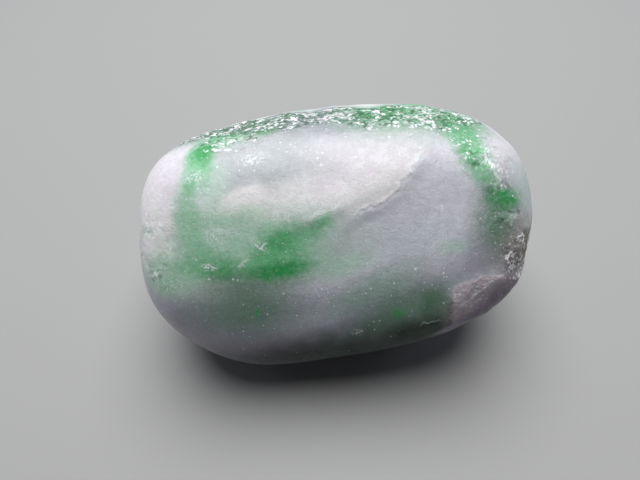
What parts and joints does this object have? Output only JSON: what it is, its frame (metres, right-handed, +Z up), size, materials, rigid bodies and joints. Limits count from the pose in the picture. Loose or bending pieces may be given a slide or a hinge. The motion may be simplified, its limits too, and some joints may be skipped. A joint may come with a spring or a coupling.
{
  "type": "raw jade boulder",
  "caption": "Small water-worn jade pebble: a rounded block with a satin surface, a shallow broken step, a rough crust patch and a flat foot to rest on.",
  "frame": {"origin": "on the surface that the stone rests on, under the middle of its length and depth", "axes": "+X along the stone's length, towards the end with the rough crust; +Y towards its back; +Z up"},
  "size_m": [0.0362, 0.0266, 0.0233],
  "materials": {
    "jadeite": "satin, water-worn, white and lavender-grey with green clouds"
  },
  "bodies": {
    "root": {"jade_boulder": "jadeite"}
  },
  "joints": []
}
